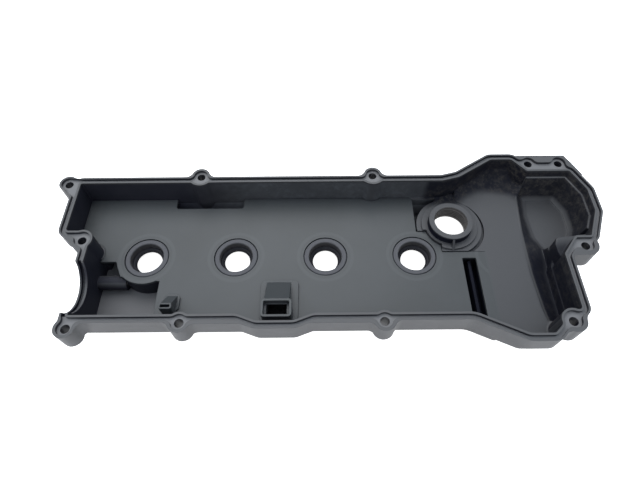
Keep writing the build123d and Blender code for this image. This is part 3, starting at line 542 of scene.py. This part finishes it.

# %% [markdown]
# The face is dull and even on the flange and the floors, and mottled on the deep walls of the
# timing side, where the melt ended its flow and the glass in it shows. Three pairs of colours are
# mixed by noise, and the thread's pair by the distance from the neck's middle: a painted highlight
# on the crests, a painted shade in the roots. The colours then lie over each other in layers, each
# where its mask is and as strong as the number beside it. Closed-in places are darkened last, a
# painted shade, and so are the slot, the moat and the pit, where little light comes in.

# %% Colours of the cover
NYLON = ((0.026, 0.027, 0.031, 1), (0.038, 0.039, 0.044, 1))
ROUGH_NYLON = ((0.015, 0.016, 0.022, 1), (0.062, 0.058, 0.055, 1))
COVE_SHADE_NYLON = ((0.010, 0.011, 0.017, 1), (0.055, 0.051, 0.048, 1))
THREAD_RADIUS = (16.4, 17.2)
THREAD_LIT_CREST_SHADED_ROOT = ((0.16, 0.148, 0.138, 1), (0.045, 0.041, 0.039, 1))
# The colour of the painted shade in closed-in places.
SHADE_COLOUR = (0.006, 0.007, 0.014, 1)
patch = speckle.between(0.42, 0.68) * cloud.between(0.30, 0.62)
speckled = mixed(tree, patch, *ROUGH_NYLON)
gloomy = mixed(tree, patch, *COVE_SHADE_NYLON)
# Painted highlight on the thread's crests, painted shade in its roots; the whole bore is painted paler.
thread_light_shade = mixed(tree, from_neck.between(*THREAD_RADIUS), *THREAD_LIT_CREST_SHADED_ROOT)
base = mixed(tree, mottle.between(0.38, 0.66), *NYLON)
layers = [
    (lit_floors, (0.050, 0.051, 0.055, 1)),
    (lit_flange, (0.072, 0.073, 0.076, 1)),
    (lit_back_wall * (0.35 + patch * 0.65), (0.075, 0.083, 0.094, 1)),
    (rough_wall * 0.9, speckled),
    (gloom * 0.92, gloomy),
    (rim_highlight * 0.8, (0.085, 0.085, 0.088, 1)),
    (heel_highlight * 0.6, (0.070, 0.071, 0.075, 1)),
    (bore * 0.9, thread_light_shade),
    (shaded_inside * 0.75, (0.013, 0.014, 0.024, 1)),
    (lip_highlight * 0.85, (0.155, 0.150, 0.142, 1)),
    (ledge * 0.8, (0.105, 0.105, 0.109, 1)),
    (groove, (0.15, 0.15, 0.155, 1)),
    (lit_notch_roof, (0.10, 0.10, 0.105, 1)),
]
for mask, colour in layers:
    base = mixed(tree, mask, base, colour)
# Painted shade: the walls of the slot and the moat, and the pit, are darkened to near black.
opening_shade = (slot + moat * 1.1).smaller(1.0)
# Painted shade: closed-in places are darkened, but not on the groove's floor or the notch's roof.
shade = closed_in(tree, 0.010) * (1 - groove) * (1 - lit_notch_roof)
shade = shade * (1 - ledge * 0.8) * (1 - bore * 0.7) * (1 - lip_highlight * 0.9)
shade = shade.larger(opening_shade * 0.92).larger(pit_shade * 0.5)
cover_colour = mixed(tree, shade, base, SHADE_COLOUR)
print(len(layers), "layers of colour")

# %% [markdown]
# Two shaders of the same colour are mixed: one with the common gloss of the plastic, and a dull
# one with hardly any, for the rough walls, the painted shade of the timing floor's back and the
# deep places, which give back no sheen. The Bevel node rounds the moulded edges, by a few tenths
# of a millimetre on the flange and by some millimetres in the bay and in the corner behind the
# filler, whose walls run into each other.

# %% Plastic of the cover
DULL_GLOSS = 0.06
FINE_EDGE = 0.0006
SOFT_EDGE = 0.0034
SOFT_FROM = (354.0, 360.0)
CORNER_LEFT = (324.0, 332.0)
CORNER_FRONT = (62.0, 66.0)
SOFT_TOP = (HEIGHT - 9, HEIGHT - 6)
corner = x.between(*CORNER_LEFT) * y.between(*CORNER_FRONT)
soft = x.between(*SOFT_FROM).larger(corner) * (1 - z.between(*SOFT_TOP))
edge_radius = FINE_EDGE + soft * (SOFT_EDGE - FINE_EDGE)
edge = node(tree, "ShaderNodeBevel", {"samples": 8}, Radius=edge_radius)
relief = grain * (0.5 + rough_wall) + mottle * 0.6 + speckle * rough_wall * 2.0
bump = {"Strength": 0.16, "Distance": 0.0002}
surface = node(tree, "ShaderNodeBump", {}, Height=relief, Normal=edge, **bump)
roughness = 0.44 + mottle * 0.08 + grain * 0.08 + rough_wall * 0.12
dullness = opening_shade.larger(gloom).larger(rough_wall * 0.85).larger(shaded_inside * 0.6).larger(pit_shade)
dull = tree.nodes.new("ShaderNodeBsdfPrincipled")
dull.inputs["Specular IOR Level"].default_value = DULL_GLOSS
for half in (shader, dull):
    put(tree, cover_colour, half, "Base Color")
    put(tree, roughness, half, "Roughness")
    put(tree, surface, half, "Normal")
blend = tree.nodes.new("ShaderNodeMixShader")
put(tree, dullness * (1 - rim_highlight) * (1 - lip_highlight), blend, "Fac")
tree.links.new(shader.outputs[0], blend.inputs[1])
tree.links.new(dull.outputs[0], blend.inputs[2])
tree.links.new(blend.outputs[0], tree.nodes["Material Output"].inputs["Surface"])
cover_plastic = material
print(material.name, len(tree.nodes), "nodes")

# %% [markdown]
# The baffle is a thinner plate of the same family of plastic, a little greener and smoother. A
# pale halo round each seal shows where it is welded to the well's wall below, and a slightly
# darker band along the left end is a painted shade. The distance to the nearest plug comes from
# the fraction of x over the plug pitch, so that one mask serves all four.

# %% Plastic of the baffle
WELD_HALO = (25.6, 26.6, 28.6, 30.2)
END_BAND = (-68.0, -61.0)
material, tree, shader = finish_tree("baffle_plastic", 0.45, IOR=1.5, Specular_IOR_Level=0.5)
place = places(tree)
x, y = millimetres(tree, place)[:2]
cloud = noise(tree, place, 14.0)
grain = noise(tree, place, 1300.0, 2.0)
pitches = x * (1 / PLUG_PITCH) + 0.5
along = (pitches.math("FRACT", pitches) - 0.5) * PLUG_PITCH
halo = distance(along, y).within(*WELD_HALO)
# Painted shade along the left end; the same band is also a little rougher.
end_band_shade = 1 - x.between(*END_BAND)
base = mixed(tree, cloud.between(0.3, 0.7), (0.039, 0.0435, 0.046, 1), (0.046, 0.051, 0.0545, 1))
base = mixed(tree, halo * 0.35, base, (0.068, 0.074, 0.078, 1))
base = mixed(tree, end_band_shade * 0.4, base, (0.036, 0.040, 0.042, 1))
# Painted shade: closed-in places of the baffle are darkened.
shade = closed_in(tree, 0.010)
put(tree, mixed(tree, shade, base, (0.005, 0.006, 0.013, 1)), shader, "Base Color")
put(tree, 0.42 + grain * 0.08 + end_band_shade * 0.06, shader, "Roughness")
edge = node(tree, "ShaderNodeBevel", {"samples": 6}, Radius=FINE_EDGE)
bump = {"Strength": 0.06, "Distance": 0.0001}
surface = node(tree, "ShaderNodeBump", {}, Height=grain, Normal=edge, **bump)
put(tree, surface, shader, "Normal")
baffle_plastic = material
print(material.name, len(tree.nodes), "nodes")

# %% [markdown]
# The seals are black rubber with a little talc on it from the mould. Their top face, level with
# the baffle, is painted paler than the rest, a painted highlight.

# %% Rubber of the seals
SEAL_TOP = (BAFFLE_LEVEL - 1.6, BAFFLE_LEVEL - 0.8)
material, tree, shader = finish_tree("seal_rubber", 0.55, IOR=1.5, Specular_IOR_Level=0.22)
place = places(tree)
dust = noise(tree, place, 220.0, 4.0)
# Painted highlight on the seal's top face.
lit_top = millimetres(tree, place)[2].between(*SEAL_TOP)
base = mixed(tree, dust.between(0.4, 0.75), (0.012, 0.012, 0.016, 1), (0.022, 0.022, 0.026, 1))
base = mixed(tree, lit_top, base, (0.085, 0.086, 0.094, 1))
# Painted shade: closed-in places of the seal are darkened.
shade = closed_in(tree, 0.006, 0.7)
put(tree, mixed(tree, shade, base, (0.004, 0.005, 0.010, 1)), shader, "Base Color")
put(tree, 0.48 + dust * 0.2, shader, "Roughness")
surface = node(tree, "ShaderNodeBump", {}, Strength=0.12, Distance=0.0001, Height=dust)
put(tree, surface, shader, "Normal")
seal_rubber = material
print(material.name, len(tree.nodes), "nodes")

# %% [markdown]
# The coil inserts are turned brass, a metal, so their colour is the colour of their reflections.
# A fine noise stands for the turning marks, which are too small to be made as a shape.

# %% Brass of the coil inserts
material, tree, shader = finish_tree("insert_brass", 0.3, Metallic=1.0)
turned = noise(tree, places(tree), 800.0)
put(tree, mixed(tree, turned, (0.56, 0.40, 0.15, 1), (0.72, 0.54, 0.24, 1)), shader, "Base Color")
put(tree, 0.22 + turned * 0.15, shader, "Roughness")
insert_brass = material
print(material.name, len(tree.nodes), "nodes")

# %% [markdown]
# The floor is white paper that glows a little, so that it stays white where the cover shades it.

# %% Floor of the picture
FLOOR_GLOW = 0.95
material, tree, shader = finish_tree("studio_floor", 0.9, Emission_Strength=FLOOR_GLOW)
shader.inputs["Base Color"].default_value = (0.90, 0.90, 0.90, 1)
shader.inputs["Emission Color"].default_value = (1, 0.995, 0.98, 1)
floor.data.materials.append(material)
print("floor glows with strength", FLOOR_GLOW)

# %% [markdown]
# Each CAD node keeps its mesh and gets its finish by its name.

# %% Finishes on the solids
FINISHES = {
    "cover_shell": cover_plastic,
    "oil_baffle": baffle_plastic,
    "plug_seal": seal_rubber,
    "coil_insert": insert_brass,
}
for name, solid in frame["nodes"].items():
    finish = next(made for start, made in FINISHES.items() if name.startswith(start))
    slots = solid.data.materials
    for number in range(max(len(slots), 1)):
        if len(slots) <= number:
            slots.append(finish)
        else:
            slots[number] = finish
    print(name, finish.name)

# %% [markdown]
# A plug seal is a ring of rubber that was moulded in one piece: a flange that lies in the baffle,
# with a shallow groove round its top, a body in the seat, and at the foot of its bore a ledge and
# a thin lip that grips the plug tube. All of it is round, so the piece is one closed profile of
# radius and height, carried round the axis. Rounded corners come from the profile's points, where
# each corner is cut off twice: that is lighter than a Bevel modifier, and the same each time.

# %% Helpers for round pieces


def rounded(profile, rounds=2):
    """Closed profile with every corner cut at a quarter and three quarters of its sides, twice."""
    for _ in range(rounds):
        after = np.roll(profile, -1, axis=0)
        cut = np.stack([profile * 0.75 + after * 0.25, profile * 0.25 + after * 0.75], axis=1)
        profile = cut.reshape(-1, 2)
    return profile


def turned_ring(name, profile, centre, steps, ripple=0.0, lobes=1, edge_radius=None):
    """Ring of a closed profile (radius, height) carried round an upright axis.

    x and y are the centre plus the radius times the cosine and the sine of the angle. Where the
    radius is past edge_radius, the ripple times the cosine of lobes times the angle is added.
    """
    angle = np.arange(steps) * -2 * np.pi / steps
    radius = profile[:, 0][:, None] * np.ones(steps)
    if ripple:
        radius = radius + (radius > edge_radius) * ripple * np.cos(lobes * angle)
    points = np.stack(
        [
            centre[0] + radius * np.cos(angle),
            centre[1] + radius * np.sin(angle),
            profile[:, 1][:, None] * np.ones(steps),
        ],
        axis=-1,
    )
    return piece(name, grid_mesh(name, points * MM, wrap_u=True, wrap_v=True))


def dress(made, finish):
    """Finish, slot and body of a new piece."""
    made.data.materials.append(finish)
    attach(made, "root")


def measure(made):
    """Prints a piece's number of faces, and its volume, which is positive with faces outward."""
    shape = bmesh.new()
    shape.from_mesh(made.data)
    print(made.name, len(shape.faces), "faces,", round(shape.calc_volume(signed=True) * 1e9), "mm3")
    shape.free()


def close_ends(made):
    """Joins points that fall together, fills open ends, and turns the faces outward."""
    shape = bmesh.new()
    shape.from_mesh(made.data)
    bmesh.ops.remove_doubles(shape, verts=shape.verts, dist=1e-7)
    bmesh.ops.holes_fill(shape, edges=shape.edges)
    bmesh.ops.recalc_face_normals(shape, faces=shape.faces)
    shape.to_mesh(made.data)
    shape.free()


# %% [markdown]
# The profile of the seal starts at the foot of its body, outside, and goes up over the flange's
# top with its groove and down the bore to the lip. Each ring takes the place of the plain solid
# in the frame, and is centred on its box.

# %% Plug seals
SEAL_STEPS = 96
SEAL_BODY = 20.0
SEAL_FOOT = 15.0
SEAL_PROFILE = [
    (SEAL_BODY, SEAL_FOOT),
    (SEAL_BODY, 23.6),
    (SEAL_BODY + 1.0, 24.05),
    (SEAL_BODY + 2.0, 24.2),
    (SEAL_BODY + 2.0, 26.2),
    (SEAL_BODY + 1.0, 27.0),
    (SEAL_BODY - 0.2, 26.75),
    (SEAL_BODY - 1.4, 26.75),
    (SEAL_BODY - 2.2, 27.0),
    (17.2, 26.9),
    (16.8, 25.6),
    (16.7, 20.0),
    (16.3, 18.6),
    (14.6, 18.2),
    (13.9, 17.0),
    (13.0, 16.4),
    (13.0, 15.4),
    (14.0, SEAL_FOOT),
]
seal_profile = rounded(np.array(SEAL_PROFILE))
for number in range(1, 5):
    low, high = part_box(f"plug_seal_{number}")
    centre = [(low[axis] + high[axis]) / 2 / MM for axis in (0, 1)]
    ring = turned_ring(f"seal_ring_{number}", seal_profile, centre, SEAL_STEPS)
    dress(ring, seal_rubber)
    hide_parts(f"plug_seal_{number}")
    measure(ring)

# %% [markdown]
# The coil's bolts go into brass inserts that are pressed into their bosses from the outer top. An
# insert is knurled outside, with a plain collar at the mouth and a chamfer into the thread. The
# knurl is a ripple on the radius, only past the plain radius, and the thread inside is cut as
# fine rings on the profile.

# %% Coil inserts
INSERT_OUTER = 4.0
INSERT_BORE = 2.5
THREAD_DEPTH = 0.25
THREAD_PITCH = 0.8
KNURL_DEPTH = 0.12
KNURL_LOBES = 30
PLAIN_RADIUS = 3.85
INSERT_STEPS = 120
THREAD_ABOVE_BOTTOM = 1.2
THREAD_BELOW_TOP = 0.8
low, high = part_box("coil_insert_1")
bottom, top_end = low[2] / MM, high[2] / MM
rings = np.arange(bottom + THREAD_ABOVE_BOTTOM, top_end - THREAD_BELOW_TOP, THREAD_PITCH / 2)
crest = INSERT_BORE + THREAD_DEPTH * (np.arange(len(rings)) % 2)
inner = np.stack([crest, rings], axis=1)[::-1]
outer = [
    (INSERT_BORE + 0.5, bottom + 0.02),
    (INSERT_OUTER - 0.25, bottom + 0.02),
    (INSERT_OUTER - 0.16, bottom + 0.15),
    (INSERT_OUTER - 0.16, bottom + 1.4),
    (INSERT_OUTER - KNURL_DEPTH, bottom + 1.7),
    (INSERT_OUTER - KNURL_DEPTH, top_end - 0.6),
    (INSERT_OUTER - 0.4, top_end),
    (INSERT_BORE + 0.3, top_end),
]
insert_profile = np.concatenate([np.array(outer), inner])
knurl = (KNURL_DEPTH, KNURL_LOBES, PLAIN_RADIUS)
for number in range(1, 5):
    low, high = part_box(f"coil_insert_{number}")
    centre = [(low[axis] + high[axis]) / 2 / MM for axis in (0, 1)]
    name = f"threaded_insert_{number}"
    made = turned_ring(name, insert_profile, centre, INSERT_STEPS, *knurl)
    dress(made, insert_brass)
    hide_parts(f"coil_insert_{number}")
    measure(made)

# %% [markdown]
# The oil filler's bore has a coarse moulded thread for the cap. Its ridge is a small triangle
# carried along a helix, which runs out at both ends: the triangle shrinks to a point there, so
# that the piece is closed. Four fifths of the ridge stand in the bore, the rest is in the wall.

# %% Thread of the oil filler
neck = next(mount for mount in frame["record"]["mounts"] if mount["name"] == "filler_neck")
NECK_CENTRE = [value / MM for value in neck["pos_m"]]
NECK_RADIUS = neck["dims"]["r_mm"]
NECK_LENGTH = neck["dims"]["length_mm"]
CAP_PITCH = 2.6
CAP_TURNS = 5.0
CAP_DEPTH = 1.0
CAP_ROOT = 0.25
CAP_HALF_WIDTH = 0.8
CAP_RUN_OUT = 0.25
CAP_BELOW_MOUTH = 1.6
CAP_STEPS = 480
along = np.linspace(0, 1, CAP_STEPS + 1)
fade = np.clip(np.minimum(along, 1 - along) * CAP_TURNS / CAP_RUN_OUT, 0, 1)[:, None]
angle = along * CAP_TURNS * 2 * np.pi
start = NECK_CENTRE[2] + NECK_LENGTH - CAP_BELOW_MOUTH - CAP_TURNS * CAP_PITCH
section = np.array([(CAP_ROOT, -CAP_HALF_WIDTH), (-CAP_DEPTH, 0.0), (CAP_ROOT, CAP_HALF_WIDTH)])
radius = NECK_RADIUS + section[:, 0] * fade
rise = start + angle[:, None] * CAP_PITCH / (2 * np.pi) + section[:, 1] * fade
thread_points = np.stack(
    [
        NECK_CENTRE[0] + radius * np.cos(angle)[:, None],
        NECK_CENTRE[1] + radius * np.sin(angle)[:, None],
        rise,
    ],
    axis=-1,
)
filler_thread = piece("filler_thread", grid_mesh("filler_thread", thread_points * MM, wrap_v=True))
close_ends(filler_thread)
dress(filler_thread, cover_plastic)
measure(filler_thread)

# %% [markdown]
# The weld is of the baffle's own plastic, and more even, because it has been molten. It gets a
# material of its own, since the baffle's halos and its dark band go by place and would show here.

# %% Plastic of the weld
WELD_COLOURS = ((0.0435, 0.0475, 0.051, 1), (0.0465, 0.0505, 0.054, 1))
material, tree, shader = finish_tree("weld_plastic", 0.45, IOR=1.5, Specular_IOR_Level=0.5)
grain = noise(tree, places(tree), 1100.0, 2.0)
put(tree, mixed(tree, grain, *WELD_COLOURS), shader, "Base Color")
put(tree, 0.43 + grain * 0.08, shader, "Roughness")
weld_plastic = material
print(material.name, len(tree.nodes), "nodes")

# %% [markdown]
# The baffle's right end butts against the timing floor, and the joint is welded flush: the
# photograph shows no line there. A strip of weld lies in the gap, and its top stands 0.02 mm
# above the baffle's face, so that it covers the joint's line. Its section is a small rectangle,
# carried from the filler's edge to the front wall.

# %% Weld at the baffle's end
baffle_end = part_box("oil_baffle")[1][0] / MM
WELD_WIDTH = 1.7
WELD_OVERLAP = 0.7
WELD_TOP = BAFFLE_LEVEL + 0.02
WELD_ROOT = BAFFLE_LEVEL - 1.0
WELD_RUN = (3.6, -90.0)
WELD_STEPS = 40
weld_left = baffle_end - WELD_OVERLAP
weld_right = weld_left + WELD_WIDTH
corners = np.array(
    [
        (weld_left, WELD_TOP),
        (weld_right, WELD_TOP),
        (weld_right, WELD_ROOT),
        (weld_left, WELD_ROOT),
    ]
)
run = np.linspace(WELD_RUN[0], WELD_RUN[1], WELD_STEPS)
weld_points = np.stack(
    [
        corners[:, 0][None, :] * np.ones((len(run), 1)),
        run[:, None] * np.ones((1, len(corners))),
        corners[:, 1][None, :] * np.ones((len(run), 1)),
    ],
    axis=-1,
)
weld = piece("baffle_weld", grid_mesh("baffle_weld", weld_points * MM, wrap_v=True), smooth=False)
close_ends(weld)
dress(weld, weld_plastic)
measure(weld)
